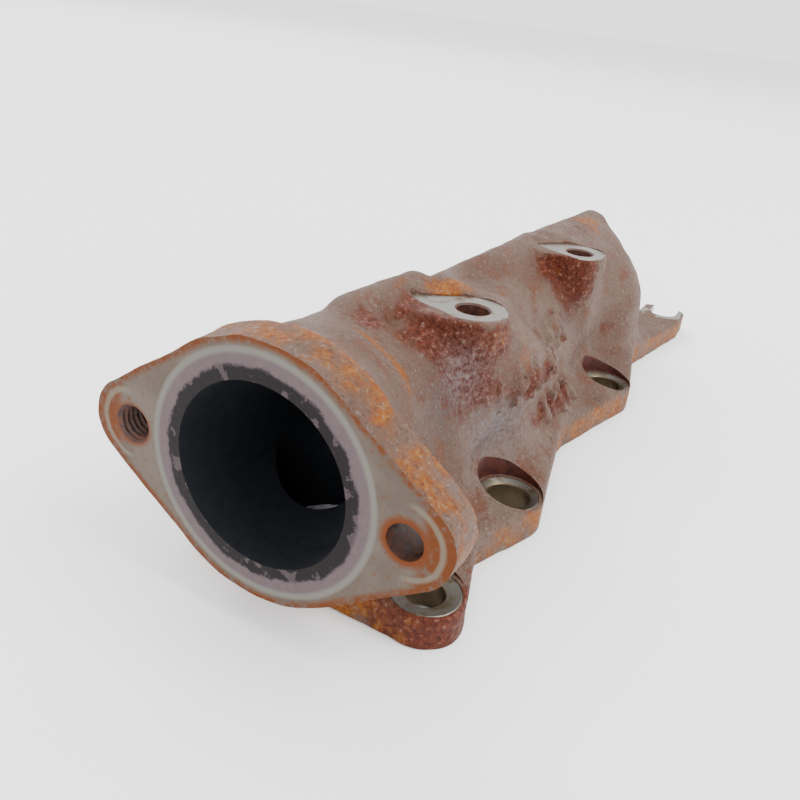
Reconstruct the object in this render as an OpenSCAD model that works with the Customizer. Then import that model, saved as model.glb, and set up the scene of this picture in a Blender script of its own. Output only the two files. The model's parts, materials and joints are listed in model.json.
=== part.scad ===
// Exhaust manifold, log type, cast in one piece, with a two-bolt outlet
// flange and three pressed-in seat sleeves in the front bolt row.
// X runs along the log away from the outlet, Z is up from the head face,
// and the origin is the locating bolt hole at the level of the head face.

/* [Head flange] */
// thickness of the flange at the bolt seats
seat_height = 8; // [6:0.5:14]
// metal left round each spot face on the front bolt row
lobe_margin = 0.6; // [0.4:0.1:4]
// length over which a lobe runs back into the flange edge
lobe_spread = 43; // [25:1:44]
// the same length on the two sides that face each other near the outlet
near_spread = 25; // [20:1:30]
// from the locating hole to the end of the flange below the outlet
flange_lead = 9; // [8:0.5:20]
// room round a sleeve head inside its spot face
spot_margin = 1.05; // [0.6:0.05:3]

/* [Bolt row] */
// from the locating hole to the second hole
first_pitch = 48; // [40:1:60]
// from the second hole to the third hole
main_pitch = 92; // [76:1:112]
// from the third hole to the centre of the end slot
slot_pitch = 100; // [84:1:120]
// width of the open end slot
slot_width = 11.6; // [9:0.1:14]
// from the centre of the slot to the tips of the fork
slot_reach = 10; // [8:0.5:16]
// from the front bolt row to the two back holes
back_row = 58; // [54:1:70]
// bore of the two plain back holes
back_hole = 9; // [8.5:0.1:11]

/* [Seat sleeves] */
// bore of the locating sleeve
locating_bore = 8.8; // [8.4:0.1:10]
// bore of the two other sleeves
clearance_bore = 11.6; // [9:0.1:12]
// wall of the two other sleeves
sleeve_wall = 1.1; // [0.8:0.1:2]
// how far a sleeve head stands out beyond its body, all round
sleeve_lip = 1.25; // [0.8:0.05:2]
// thickness of the sleeve head
sleeve_head_t = 2.4; // [1.5:0.1:4]
// depth of the dish in the sleeve head
sleeve_dish = 0.7; // [0.2:0.1:1]
// clearance all round between a sleeve and its hole
sleeve_fit = 0.05; // [0.02:0.01:0.2]

/* [Outlet] */
// from the locating hole back to the outlet face
outlet_reach = 24; // [22:1:40]
// thickness of the outlet flange
outlet_t = 10; // [8:0.5:14]
// place of the outlet centre behind the front bolt row
outlet_y = 27.7; // [24:0.1:34]
// height of the outlet centre above the head face
outlet_z = 37.1; // [34:0.1:46]
// bore of the outlet
outlet_bore = 39; // [30:0.5:42]
// diameter of the round middle of the outlet flange
outlet_round = 56; // [52:1:64]
// distance between the two tapped holes
outlet_pitch = 63.4; // [60:0.1:80]
// radius of the flange tips round the tapped holes
outlet_tip = 10; // [9:0.1:13]
// drill diameter of the tapped holes, for an M8 thread
tap_drill = 6.8; // [6.6:0.1:7]

/* [Log] */
// place of the log axis behind the front bolt row
log_y = 34; // [32:1:36]
// height of the log axis above the head face
log_z = 36; // [34:1:40]
// outside radius of the neck behind the outlet flange
neck_radius = 21.5; // [19:0.5:26]
// length of the neck from the outlet face
neck_length = 66; // [60:1:90]
// outside radius of the log after the neck
log_radius = 19; // [18:0.5:24]
// outside radius of the log at its far end
end_radius = 17; // [16.5:0.5:18]
// radius of the gas passage
passage_radius = 13.5; // [12:0.5:14]
// height of the passage axis above the head face
passage_z = 32; // [30:1:34]

/* [Ports] */
// bore of the three ports in the head face
port_bore = 30; // [24:1:30]
// from the locating hole to the first port
port_start = 12; // [10:1:16]
// distance between ports
port_pitch = 86; // [76:1:96]
// place of the ports behind the front bolt row
port_y = 31; // [29:1:34]

/* [Shield bosses] */
// from the second front bolt to the first boss hole
boss_offset = 5.6; // [0:0.2:10]
// distance between the two boss holes
boss_pitch = 80.6; // [70:0.2:100]
// place of the near boss hole behind the front bolt row
boss_near_y = 20.6; // [18:0.1:22]
// how much nearer to the bolt row the far boss hole lies
boss_step = 3.3; // [0:0.1:4]
// height of the machined boss tops above the head face
boss_z = 52.5; // [51:0.5:54]
// radius of each boss
boss_radius = 9.5; // [8:0.5:11]
// bore of the boss holes
boss_bore = 8.7; // [6.8:0.1:9]
// depth of the boss holes
boss_depth = 7; // [5:0.5:7]

/* [Hidden] */
$fn = 64;

iron = [0.50, 0.42, 0.38];
steel = [0.72, 0.70, 0.60];
cut = 1;
// how much deeper than a tangent a straight flank starts in its arc
root = 0.3;

sleeve_body = clearance_bore + 2 * sleeve_wall;
sleeve_head = sleeve_body + 2 * sleeve_lip;
spot_radius = sleeve_head / 2 + spot_margin;
lobe_radius = spot_radius + lobe_margin;
seat_x = [0, first_pitch, first_pitch + main_pitch];
slot_x = seat_x[2] + slot_pitch;
back_x = [seat_x[1], seat_x[2]];
port_x = [for (i = [0:2]) port_start + i * port_pitch];
boss_x = [for (i = [0:1]) seat_x[1] + boss_offset + i * boss_pitch];
boss_y = [boss_near_y, boss_near_y - boss_step];
sleeve_bores = [locating_bore, clearance_bore, clearance_bore];

face_x = -outlet_reach;
flange_back_x = face_x + outlet_t;
neck_end_x = face_x + neck_length;
log_start_x = neck_end_x + 22;
port_wall = 4;
body_end_x = port_x[2] + port_bore / 2 + 3 * port_wall;
log_end_x = body_end_x - end_radius - port_wall;
runner_2_start = seat_x[1] - 8;
runner_2_end = port_x[1] + port_bore / 2 + port_wall;
runner_3_start = seat_x[2] - 14;
ridge_z = log_z + log_radius + 0.5;
elbow_radius = port_bore / 2 + 14.5;

manifold_casting();
seat_sleeve_1();
seat_sleeve_2();
seat_sleeve_3();

// ---------------------------------------------------------------- helpers

// a round bar along X from x0 to x1, with a radius at each end
module bar_x(x0, x1, y, z, r0, r1) {
    translate([x0, y, z])
        rotate([0, 90, 0])
            cylinder(r1 = r0, r2 = r1, h = x1 - x0);
}

// a profile drawn as [y, z] points, carried along X from x0 to x1
module profile_x(x0, x1, points) {
    translate([x0, 0, 0])
        rotate([90, 0, 90])
            linear_extrude(height = x1 - x0)
                polygon(points);
}

// ------------------------------------------------------------ head flange

// the lobe round one bolt hole, on the side that side = -1 or 1 names,
// with straight flanks that lean on its arc
module lobe(x, y, side, before, after) {
    inner = lobe_radius - root;
    lean_0 = asin(inner / before);
    lean_1 = asin(inner / after);
    translate([x, y]) circle(r = lobe_radius);
    polygon([
        [x - before, y],
        [x - inner * sin(lean_0), y + side * inner * cos(lean_0)],
        [x + inner * sin(lean_1), y + side * inner * cos(lean_1)],
        [x + after, y],
    ]);
}

// the outline of the head flange without its fork
module flange_outline() {
    translate([-flange_lead, 0])
        square([body_end_x + flange_lead, back_row]);
    intersection() {
        lobe(seat_x[0], 0, -1, near_spread, near_spread);
        translate([0, -lobe_radius]) square([near_spread, lobe_radius + cut]);
    }
    circle(r = lobe_radius);
    lobe(seat_x[1], 0, -1, near_spread, lobe_spread);
    lobe(seat_x[2], 0, -1, lobe_spread, lobe_spread);
    for (x = back_x) lobe(x, back_row, 1, lobe_spread, lobe_spread);
}

// the arm that carries the open slot at the far end
module fork_outline() {
    tip_x = slot_x + slot_reach;
    root_x = body_end_x - 14;
    difference() {
        polygon([
            [root_x, 0],
            [slot_x - 24, -lobe_radius * 0.7],
            [slot_x - 6, -lobe_radius],
            [tip_x - 2, -lobe_radius * 0.95],
            [tip_x, -lobe_radius * 0.7],
            [tip_x, lobe_radius * 0.7],
            [tip_x - 3, lobe_radius],
            [slot_x - 10, lobe_radius],
            [body_end_x, lobe_radius * 2],
            [root_x, lobe_radius * 2],
        ]);
        translate([slot_x, 0]) circle(d = slot_width);
        translate([slot_x, -slot_width / 2]) square([slot_reach + cut, slot_width]);
    }
}

module head_flange() {
    linear_extrude(height = seat_height) {
        flange_outline();
        fork_outline();
    }
}

// ----------------------------------------------------------- outlet flange

// a diamond with a round middle and two round tips
module diamond() {
    big = outlet_round / 2;
    half = outlet_pitch / 2;
    lean = asin((big - outlet_tip) / half);
    flank = [sin(lean), cos(lean)];
    middle = (big - root) * flank;
    tip = [half, 0] + (outlet_tip - root) * flank;
    circle(r = big);
    for (side = [-1, 1]) scale([side, 1]) {
        translate([half, 0]) circle(r = outlet_tip);
        polygon([middle, tip, [tip[0], -tip[1]], [middle[0], -middle[1]]]);
    }
}

module outlet_flange() {
    translate([face_x, outlet_y, outlet_z])
        rotate([90, 0, 90])
            linear_extrude(height = outlet_t)
                diamond();
}

// -------------------------------------------------------------- log, runners

// the cone that leads from the outlet flange into the neck
module outlet_flare() {
    flare_length = 2 * outlet_t;
    big = outlet_bore / 2 + 6.5;
    bar_x(flange_back_x - cut, flange_back_x + flare_length, outlet_y, outlet_z, big, big - 6);
}

module log_body() {
    bar_x(flange_back_x - cut, neck_end_x, log_y, log_z, neck_radius, neck_radius);
    bar_x(neck_end_x, log_start_x, log_y, log_z, neck_radius, log_radius);
    bar_x(log_start_x, log_end_x, log_y, log_z, log_radius, end_radius);
    translate([log_end_x, log_y, log_z]) rotate([0, 90, 0]) sphere(r = end_radius);
}

// the flat ridge that runs along the top of the log, between its bosses
module ridge() {
    front = boss_y[1];
    profile_x(neck_end_x + 20, log_end_x, [
        [front, boss_z],
        [log_y - 5, ridge_z],
        [log_y + 2, ridge_z],
        [log_y + 10, boss_z],
        [log_y + 10, log_z],
        [front, log_z],
    ]);
}

// the round elbow over the last port
module elbow() {
    intersection() {
        translate([port_x[2], port_y, log_z - 16])
            rotate([0, 90, 0])
                sphere(r = elbow_radius);
        translate([seat_x[2], -lobe_radius, 1])
            cube([body_end_x - seat_x[2], back_row, log_z + log_radius]);
    }
}

// the walls that run down from the log to the head flange
module skirt() {
    back = back_row - 3;
    profile_x(-flange_lead + 2, body_end_x - 6, [
        [15, log_z + 4],
        [12, log_z - 12],
        [9, seat_height + 6],
        [5, seat_height],
        [5, 1],
        [back, 1],
        [back, seat_height],
        [log_y + end_radius, log_z - 12],
        [log_y + end_radius - 2, log_z + 4],
    ]);
}

// one cross-section of a runner: how far its top, middle and foot stand
// out towards the front bolts, and how high its top is
module runner_section(x, top_y, middle_y, foot_y, top_z) {
    profile_x(x, x + 0.5, [
        [log_y + 6, top_z],
        [top_y, top_z],
        [middle_y, log_z - 8],
        [foot_y, seat_height],
        [foot_y, 2],
        [log_y + 6, 2],
    ]);
}

// the first visible runner, behind the second front bolt
module middle_runner() {
    face = boss_y[1] - 8;
    swell_0 = runner_2_start + 26;
    swell_1 = runner_2_end - 20;
    hull() {
        runner_section(runner_2_start, face + 2, face + 1, 12, boss_z);
        runner_section(swell_0, face + 1, 6, 2, boss_z);
    }
    hull() {
        runner_section(swell_0, face + 1, 6, 2, boss_z);
        runner_section(swell_1, face + 6, 6, 2, boss_z);
    }
    hull() {
        runner_section(swell_1, face + 6, 6, 2, boss_z);
        runner_section(runner_2_end, face + 11, 13, 10, boss_z - 6);
    }
}

// the far runner, which rounds off into the elbow above the fork
module end_runner() {
    face = boss_y[1] - 8;
    swell = runner_3_start + 30;
    hull() {
        runner_section(runner_3_start, face + 2, face + 1, 12, boss_z);
        runner_section(swell, face + 4, 8, 3, boss_z);
    }
    hull() {
        runner_section(swell, face + 4, 8, 3, boss_z);
        runner_section(body_end_x - 28, face + 12, 14, 5, boss_z);
    }
}

module boss(i) {
    translate([boss_x[i], boss_y[i], log_z - 8]) cylinder(r = boss_radius, h = boss_z - log_z + 8);
}

// ----------------------------------------------------------------- cuts

// the outlet bore narrows to the passage, which ends over the last port
module gas_passage() {
    cone_end_x = flange_back_x + 2 * outlet_t;
    bore = outlet_bore / 2;
    passage_y = log_y - 0.5;
    bar_x(face_x - cut, flange_back_x, outlet_y, outlet_z, bore, bore);
    bar_x(flange_back_x - 0.01, cone_end_x, outlet_y, outlet_z, bore, passage_radius - 1);
    translate([cone_end_x - 4, passage_y, passage_z]) rotate([0, 90, 0]) sphere(r = passage_radius);
    bar_x(cone_end_x - 4, port_x[2], passage_y, passage_z, passage_radius, passage_radius);
    bar_x(port_x[2], port_x[2] + 8, passage_y, passage_z, passage_radius, passage_radius - 6);
}

module port_cuts() {
    for (x = port_x)
        translate([x, port_y, -cut]) cylinder(d = port_bore, h = passage_z - 4 + cut);
}

// a spot face, and the stepped hole for one sleeve
module sleeve_cut(x) {
    translate([x, 0, seat_height]) cylinder(r = spot_radius, h = log_z);
    translate([x, 0, seat_height - sleeve_head_t - sleeve_fit])
        cylinder(d = sleeve_head + 2 * sleeve_fit, h = sleeve_head_t + 2);
    translate([x, 0, -cut]) cylinder(d = sleeve_body + 2 * sleeve_fit, h = seat_height + cut);
}

module tapped_holes() {
    for (side = [-1, 1])
        translate([face_x - cut, outlet_y + side * outlet_pitch / 2, outlet_z])
            rotate([0, 90, 0])
                cylinder(d = tap_drill, h = outlet_t + 2 * cut);
}

module boss_holes() {
    for (i = [0:1]) translate([boss_x[i], boss_y[i], boss_z]) {
        translate([0, 0, -boss_depth]) cylinder(d = boss_bore, h = boss_depth + cut);
        cylinder(r = boss_radius, h = log_z);
    }
}

module back_holes() {
    for (x = back_x) {
        translate([x, back_row, -cut]) cylinder(d = back_hole, h = seat_height + 2 * cut);
        translate([x, back_row, seat_height]) cylinder(r = spot_radius - 1, h = log_z);
    }
}

// ---------------------------------------------------------------- nodes

module manifold_casting() {
    color(iron) difference() {
        union() {
            head_flange();
            outlet_flange();
            outlet_flare();
            log_body();
            ridge();
            skirt();
            middle_runner();
            end_runner();
            elbow();
            for (i = [0:1]) boss(i);
        }
        gas_passage();
        port_cuts();
        for (x = seat_x) sleeve_cut(x);
        tapped_holes();
        boss_holes();
        back_holes();
    }
}

// a flanged sleeve, turned round the Z axis, dished towards its bore
module seat_sleeve(i) {
    bore = sleeve_bores[i] / 2;
    color(steel) translate([seat_x[i], 0, 0])
        rotate_extrude()
            polygon([
                [bore, 0],
                [sleeve_body / 2, 0],
                [sleeve_body / 2, seat_height - sleeve_head_t],
                [sleeve_head / 2, seat_height - sleeve_head_t],
                [sleeve_head / 2, seat_height],
                [bore, seat_height - sleeve_dish],
            ]);
}

module seat_sleeve_1() {
    seat_sleeve(0);
}

module seat_sleeve_2() {
    seat_sleeve(1);
}

module seat_sleeve_3() {
    seat_sleeve(2);
}
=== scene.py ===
import itertools
import json
import math

import bmesh
import bpy
import numpy as np
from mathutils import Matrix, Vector


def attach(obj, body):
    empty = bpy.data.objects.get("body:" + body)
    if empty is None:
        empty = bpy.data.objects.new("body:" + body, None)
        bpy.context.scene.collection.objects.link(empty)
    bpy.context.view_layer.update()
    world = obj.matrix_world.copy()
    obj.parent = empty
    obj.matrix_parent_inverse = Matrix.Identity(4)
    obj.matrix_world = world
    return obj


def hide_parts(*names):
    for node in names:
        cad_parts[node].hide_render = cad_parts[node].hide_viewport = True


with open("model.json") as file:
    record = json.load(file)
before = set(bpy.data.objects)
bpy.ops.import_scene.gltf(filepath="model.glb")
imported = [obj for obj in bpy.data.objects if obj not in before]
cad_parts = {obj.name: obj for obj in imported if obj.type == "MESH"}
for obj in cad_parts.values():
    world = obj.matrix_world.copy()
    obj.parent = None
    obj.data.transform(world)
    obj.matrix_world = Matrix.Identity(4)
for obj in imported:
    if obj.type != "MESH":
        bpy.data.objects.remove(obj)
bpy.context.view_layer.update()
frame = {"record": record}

MM = 0.001
CELL = 0.9  # grid step of the cast surface, in millimetres

# ------------------------------------------------------------ sizes, in mm
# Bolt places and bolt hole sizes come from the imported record's mounts. The other sizes are the
# CAD's, or a little smaller where the uneven cast surface has to stay inside the CAD's box.
MOUNTS = {m["name"]: m for m in frame["record"]["mounts"]}


def place(name):
    """A mount's position in millimetres."""
    return np.array(MOUNTS[name]["pos_m"]) / MM


def row(name, axis):
    """The two holes of a bolt pattern, spread along one axis."""
    half = np.zeros(3)
    half[axis] = MOUNTS[name]["dims"]["spacing_x_mm"] / 2
    return [place(name) - half, place(name) + half]


SEATS = [place("locating_hole"), place("seat_hole_2"), place("seat_hole_3")]
SEAT_BORES = [MOUNTS[n]["dims"]["r_mm"] for n in ("locating_hole", "seat_hole_2", "seat_hole_3")]
BACK_HOLES = row("back_bolts", 0)
BACK_BORE = MOUNTS["back_bolts"]["dims"]["hole_r_mm"]
PAD_Z = 52.5
PADS = [place(n) * (1, 1, 0) + (0, 0, PAD_Z) for n in ("shield_hole_1", "shield_hole_2")]
PAD_TIPS = [PADS[0] + (-3.7, 15, 0), PADS[1] + (-3.2, 12.5, 0)]
PAD_R, PAD_TIP_R = 9.4, 1.5
PAD_BORE = MOUNTS["shield_hole_1"]["dims"]["r_mm"]
OUTLET = place("outlet_bolts")
TAPPED = row("outlet_bolts", 1)
THREAD_R = MOUNTS["outlet_bolts"]["dims"]["hole_r_mm"]

SEAT_Z = 8.0
SPOT_R = 9.2
BACK_SPOT_R = SPOT_R - 1
SPOT_TOP = 22.0
LOBE_R = 9.5
OUTLET_T = 10.0
OUTLET_BORE = 19.5
OUTLET_R = 28.0
TIP_R = 9.7
LOG_Y = 34.0
LOG_Z = 36.0
NECK_R = 21.5
PASSAGE_R = 13.5
CONE = (19.45, 13.4)
CONE_X = -14.2
CONE_LENGTH = 22.0
PASSAGE = (33.5, 32.0)
PORT_R = 15.0
PORT_Y = 31.0
PORTS = (12.0, 98.0, 184.0)
SLOT = np.array([240.0, 0.0, 0.0])
SLOT_R = 5.8
SLOT_SPOT_R = 9.6
TIP_X = 250.0
BODY_END = 210.0
SLEEVE_BODY_R = 6.9
SLEEVE_HEAD_R = 8.15
SLEEVE_HEAD_T = 2.4
SLEEVE_DISH = 0.7
SLEEVE_GAP = 0.05
CAST_TOP = 64.9  # keeps the outlet flange under the top of the CAD's box


# ------------------------------------------------------- distance fields
def join(a, b, k):
    """Union of two fields with a fillet about k wide."""
    h = np.clip(0.5 + 0.5 * (b - a) / k, 0, 1)
    return b + (a - b) * h - k * h * (1 - h)


def meet(a, b, k):
    """Intersection of two fields with an edge rounded over about k."""
    return -join(-a, -b, k)


def smooth_step(t):
    """0 below 0, 1 above 1, smooth between them."""
    t = np.clip(t, 0, 1)
    return t * t * (3 - 2 * t)


def polygon_distance(u, v, points):
    """Signed distance in a plane from a closed outline."""
    p = np.array(points, float)
    best = np.full(np.broadcast(u, v).shape, 1e9)
    inside = np.zeros(best.shape, bool)
    for a, b in zip(p, np.roll(p, -1, 0)):
        e = b - a
        du, dv = u - a[0], v - a[1]
        t = np.clip((du * e[0] + dv * e[1]) / (e @ e), 0, 1)
        best = np.minimum(best, (du - e[0] * t) ** 2 + (dv - e[1] * t) ** 2)
        if a[1] != b[1]:
            crosses = (a[1] > v) != (b[1] > v)
            inside ^= crosses & (u < e[0] * (v - a[1]) / (b[1] - a[1]) + a[0])
    return np.sqrt(best) * np.where(inside, -1, 1)


def slab(flat, t, half, edge=0.8):
    """An outline's field carried half each way along t, with rounded edges."""
    a, b = flat + edge, np.abs(t) - half + edge
    outside = np.hypot(np.maximum(a, 0), np.maximum(b, 0))
    return outside + np.minimum(np.maximum(a, b), 0) - edge


def bar(x, y, z, start, end, r0, r1):
    """A round bar from start to end, with a radius at each end and round tips."""
    a, b = np.array(start, float), np.array(end, float)
    d = b - a
    t = ((x - a[0]) * d[0] + (y - a[1]) * d[1] + (z - a[2]) * d[2]) / (d @ d)
    t = np.clip(t, 0, 1)
    gap = np.sqrt((x - a[0] - d[0] * t) ** 2 + (y - a[1] - d[1] * t) ** 2 + (z - a[2] - d[2] * t) ** 2)
    return gap - (r0 + (r1 - r0) * t)


def blur(values, passes):
    """Softens the kinks of a surface given on a grid."""
    for _ in range(passes):
        padded = np.pad(values, 1, mode="edge")
        values = (2 * padded[1:-1, 1:-1] + padded[:-2, 1:-1] + padded[2:, 1:-1]
                  + padded[1:-1, :-2] + padded[1:-1, 2:]) / 6
    return values


def wall_field(surface, y, side):
    """Field of the solid that lies behind a wall y = surface(x, z); side is -1 for a front wall."""
    dx, dz = np.gradient(surface, CELL)
    steep = np.sqrt(1 + dx ** 2 + dz ** 2)
    return side * (y - surface[:, None, :]) / steep[:, None, :]


def profile(z, *points):
    """How far out a wall stands at each height."""
    heights, outs = zip(*points)
    return np.interp(z, heights, outs)


# -------------------------------------------------------- the cast body
def tangent_lobe(x, y, centre, side, before, after):
    """A bolt lobe: an arc with straight flanks that run back to the flange edge."""
    lean_0 = math.asin(LOBE_R / before)
    lean_1 = math.asin(LOBE_R / after)
    cx, cy = centre[0], centre[1]
    flanks = polygon_distance(x, y, [
        (cx - before, cy),
        (cx - LOBE_R * math.sin(lean_0), cy + side * LOBE_R * math.cos(lean_0)),
        (cx + LOBE_R * math.sin(lean_1), cy + side * LOBE_R * math.cos(lean_1)),
        (cx + after, cy),
        (cx + after, cy - side * 15),
        (cx - before, cy - side * 15),
    ])
    return np.minimum(flanks, np.hypot(x - cx, y - cy) - LOBE_R)


def flange_outline(x, y):
    """The head flange seen from above, with its fork arm."""
    outline = polygon_distance(x, y, [(-9, 0), (200, 0), (212, 12), (212, 58), (-9, 58)])
    outline = np.minimum(outline, np.hypot(x, y) - LOBE_R)
    outline = np.minimum(outline, np.maximum(tangent_lobe(x, y, SEATS[0], -1, 30, 30), -x))
    outline = np.minimum(outline, tangent_lobe(x, y, SEATS[1], -1, 30, 43))
    outline = np.minimum(outline, tangent_lobe(x, y, SEATS[2], -1, 43, 43))
    for hole in BACK_HOLES:
        outline = np.minimum(outline, tangent_lobe(x, y, hole, 1, 43, 43))
    arm = polygon_distance(x, y, [
        (180, 0), (216, -6.5), (233, -9.3), (246, -9), (249.5, -6.5), (249.5, 7),
        (247, 9.8), (230, 10), (212, 19), (180, 30),
    ])
    return join(outline, arm, 2)


def front_wall(x, z):
    """How far the front of the casting stands out: two valleys and two runners."""
    valley = profile(z, (8, -3), (9.5, 1), (12, 5.5), (17, 9), (27, 12), (39, 16), (45, 21), (48, 27),
                     (50, 34), (58, 44))
    pocket = profile(z, (8, -3), (9.5, 1), (12, 5), (17, 8), (25, 10), (33, 13), (40, 19), (46, 24),
                     (51, 28), (54, 31), (58, 38))
    near = profile(z, (8, -9), (9.5, -4), (11, 2), (13, 7), (15, 9.6), (18, 10.2), (22, 9.4), (27, 8.5),
                   (32, 8.6), (38, 10), (44, 12), (50, 15), (53, 18), (58, 32))
    middle = profile(z, (8, -9), (9.5, -5), (11, -1), (14, 2.5), (18, 5), (22, 6), (27, 5.2), (32, 5),
                     (37, 6.5), (43, 10), (48, 14), (52, 19), (55, 24), (58, 32))
    far = profile(z, (8, -9), (9.5, -4), (11, 2), (13, 7), (15, 9.6), (19, 10.4), (24, 10), (30, 10.2),
                  (37, 12), (45, 15.5), (51, 20), (55, 25), (58, 32))
    end = profile(z, (8, -4), (10, 1), (15, 5), (24, 8), (36, 14), (47, 20), (54, 27), (58, 33))
    left_2 = np.interp(z, (8, 15, 22, 30, 42, 53), (34, 38, 41, 44, 48, 51))
    right_2 = np.interp(z, (10, 18, 26, 34, 42, 50, 55), (112, 108, 100, 92, 84, 76, 70))
    left_3 = np.interp(z, (10, 18, 26, 34, 44, 53), (118, 122, 127, 131, 134, 136))
    runner_2 = near + (middle - near) * smooth_step((x - 52) / 14)
    on_2 = smooth_step((x - left_2) / 4) * smooth_step((right_2 + 6 - x) / 18)
    on_3 = smooth_step((x - left_3) / 7)
    base = valley + (pocket - valley) * smooth_step((x - 80) / 25)
    runner_3 = far + (end - far) * smooth_step((x - 158) / 36)
    out = base + (runner_2 - base) * on_2
    return blur(out + (runner_3 - out) * on_3, 2)


def back_wall(x, z):
    """How far the hidden back stands out: a wall that bulges at the ports and clears the back bolts."""
    plain = profile(z, (8, 60), (10, 55), (13, 51.5), (20, 49.5), (32, 51), (40, 52), (48, 50), (54, 45),
                    (58, 37))
    port = profile(z, (8, 60), (10, 57), (14, 53.5), (22, 52), (32, 52.5), (40, 52.5), (48, 50), (54, 45),
                   (58, 37))
    bulge = sum(np.exp(-((x - p) / 17) ** 2) for p in PORTS)
    clear = profile(z, (8, 46), (16, 46.5), (22, 49.6), (38, 51), (58, 60))
    near_bolt = sum(np.exp(-((x - h[0]) / 12) ** 4) for h in BACK_HOLES)
    wall = plain + (port - plain) * np.clip(bulge, 0, 1)
    return blur(wall + (np.minimum(wall, clear) - wall) * np.clip(near_bolt, 0, 1), 2)


def top_field(x, y, z):
    """The top of the log: a flat strip that drifts forward along the log, with a slope on each side."""
    drift = np.interp(x, (78, 106, 138, 190), (0, -0.9, -2.5, -5.0))
    strip = z - 47.0 - 5.9 * smooth_step((x - 34) / 6) - 2.5 * smooth_step((x - 57) / 10)
    back_slope = 0.8 * (z - 56) + 0.6 * (y - 36.4 - drift)
    front_slope = 0.966 * (z - 55) - 0.258 * (y - 28.5 - drift)
    return meet(meet(strip, back_slope, 1.0), front_slope, 1.5)


def diamond(y, z):
    """The outlet flange seen along the outlet."""
    half = abs(TAPPED[1][1] - TAPPED[0][1]) / 2
    lean = math.asin((OUTLET_R - TIP_R) / half)
    u, v = np.abs(y - OUTLET[1]), np.abs(z - OUTLET[2])
    s, c = math.sin(lean), math.cos(lean)
    along = u * c - v * s
    face = u * s + v * c - OUTLET_R
    tip = np.hypot(u - half, v) - TIP_R
    round_middle = np.hypot(u, v) - OUTLET_R
    return np.where(along < 0, round_middle, np.where(along > half * c, tip, face))


def pad_boss(x, y, z, outline, lean):
    """A boss that hangs from the log top, its walls leaning in below."""
    below = np.maximum(PAD_Z - z, 0)
    flat = polygon_distance(x - lean * below, y, outline)
    return slab(flat + 0.10 * below, z - (PAD_Z + 0.4 - 16), 16, 0.7)


def cast_field(x, y, z):
    """The whole casting before machining."""
    fx, fz = x[:, 0, :], z[0, :, :].reshape(1, -1)
    front = wall_field(front_wall(fx, fz), y, -1)
    back = wall_field(back_wall(fx, fz), y, 1)
    top = top_field(x, y, z)
    trunk = meet(front, back, 3)
    trunk = meet(trunk, x - 197, 1.5)
    trunk = meet(trunk, top, 3)
    trunk = meet(trunk, -x - 7, 2)
    elbow = bar(x, y, z, (PORTS[2], PORT_Y, 16), (PORTS[2], PORT_Y, 20), 30, 29.3)
    elbow = meet(meet(elbow, x - BODY_END, 4), y - 53, 4)
    trunk = join(trunk, elbow, 5)

    log = bar(x, y, z, (12, LOG_Y, LOG_Z - 4), (188, LOG_Y - 1, LOG_Z - 1), 15.2, 14.6)
    neck = bar(x, y, z, (-14, LOG_Y, LOG_Z - 1), (5, LOG_Y, LOG_Z - 1), NECK_R - 0.4, NECK_R - 0.4)
    neck = join(neck, bar(x, y, z, (0, 39, 41), (24, 40, 40.5), 15, 14), 3)
    neck = meet(neck, -x - 16, 1)
    body = join(trunk, log, 4)
    body = join(body, neck, 5)

    outline = flange_outline(x[:, :, 0], y[:, :, 0])[:, :, None]
    flange = slab(outline, z - SEAT_Z / 2 + 1, SEAT_Z / 2 + 1, 1.0)
    body = meet(join(body, flange, 3), np.where(z < 24, outline, outline - 4), 1)

    pad_1 = [(40, 40), (39, 33), (40.5, 22), (43.5, 14.5), (47.5, 11), (52, 10.2), (57, 11.5),
             (61, 15.5), (62.5, 20), (60, 27), (54, 33), (48, 40)]
    pad_2 = [(118, 38), (121, 28), (123.5, 17), (126.5, 11.5), (130.5, 8.8), (135, 8), (140, 9.2),
             (144.5, 13), (146.5, 19), (145, 26), (141, 32), (140, 40)]
    body = join(body, pad_boss(x, y, z, pad_1, -0.12), 4)
    body = join(body, pad_boss(x, y, z, pad_2, 0.1), 3)
    shoulder = bar(x, y, z, (57, 19.5, 43.5), (86, 26, 43.5), 7.5, 6)
    body = join(body, shoulder, 5)
    from_pad = np.minimum(*(bar(x, y, 0 * z, pad * (1, 1, 0), tip * (1, 1, 0), PAD_R, PAD_TIP_R)
                            for pad, tip in zip(PADS, PAD_TIPS)))
    body = meet(body, z - PAD_Z - 0.3 - 0.8 * np.maximum(from_pad - 0.4, 0), 0.3)

    plate = slab(diamond(y, z), x - (OUTLET[0] + OUTLET_T / 2 - 1), OUTLET_T / 2 + 1, 1.0)
    flare = bar(x, y, z, (-16, OUTLET[1] + 1, OUTLET[2]), (2, LOG_Y - 1, LOG_Z), 26.5, 20.5)
    flare = meet(flare, -x - 15, 1)
    body = join(body, join(plate, flare, 4), 4)
    lug = bar(x, y, z, (29, 42, 50.4), (60, 41, 49.6), 6.2, 6.2)
    body = join(body, lug, 1.5) + cast_skin(x, y, z)
    return meet(body, z - CAST_TOP, 0.5)


def cast_skin(x, y, z):
    """The small unevenness that sand leaves on a casting, in millimetres."""
    random = np.random.default_rng(7)
    skin = 0.0
    for wave in (16, 13, 10, 8, 6.5, 5.5, 4.6, 4.0):
        direction = random.normal(size=3)
        a, b, c = direction / np.linalg.norm(direction) * 2 * math.pi / wave
        skin = skin + wave * np.sin(a * x + b * y + c * z + random.uniform(0, 6.3))
    return 0.006 * skin


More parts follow.
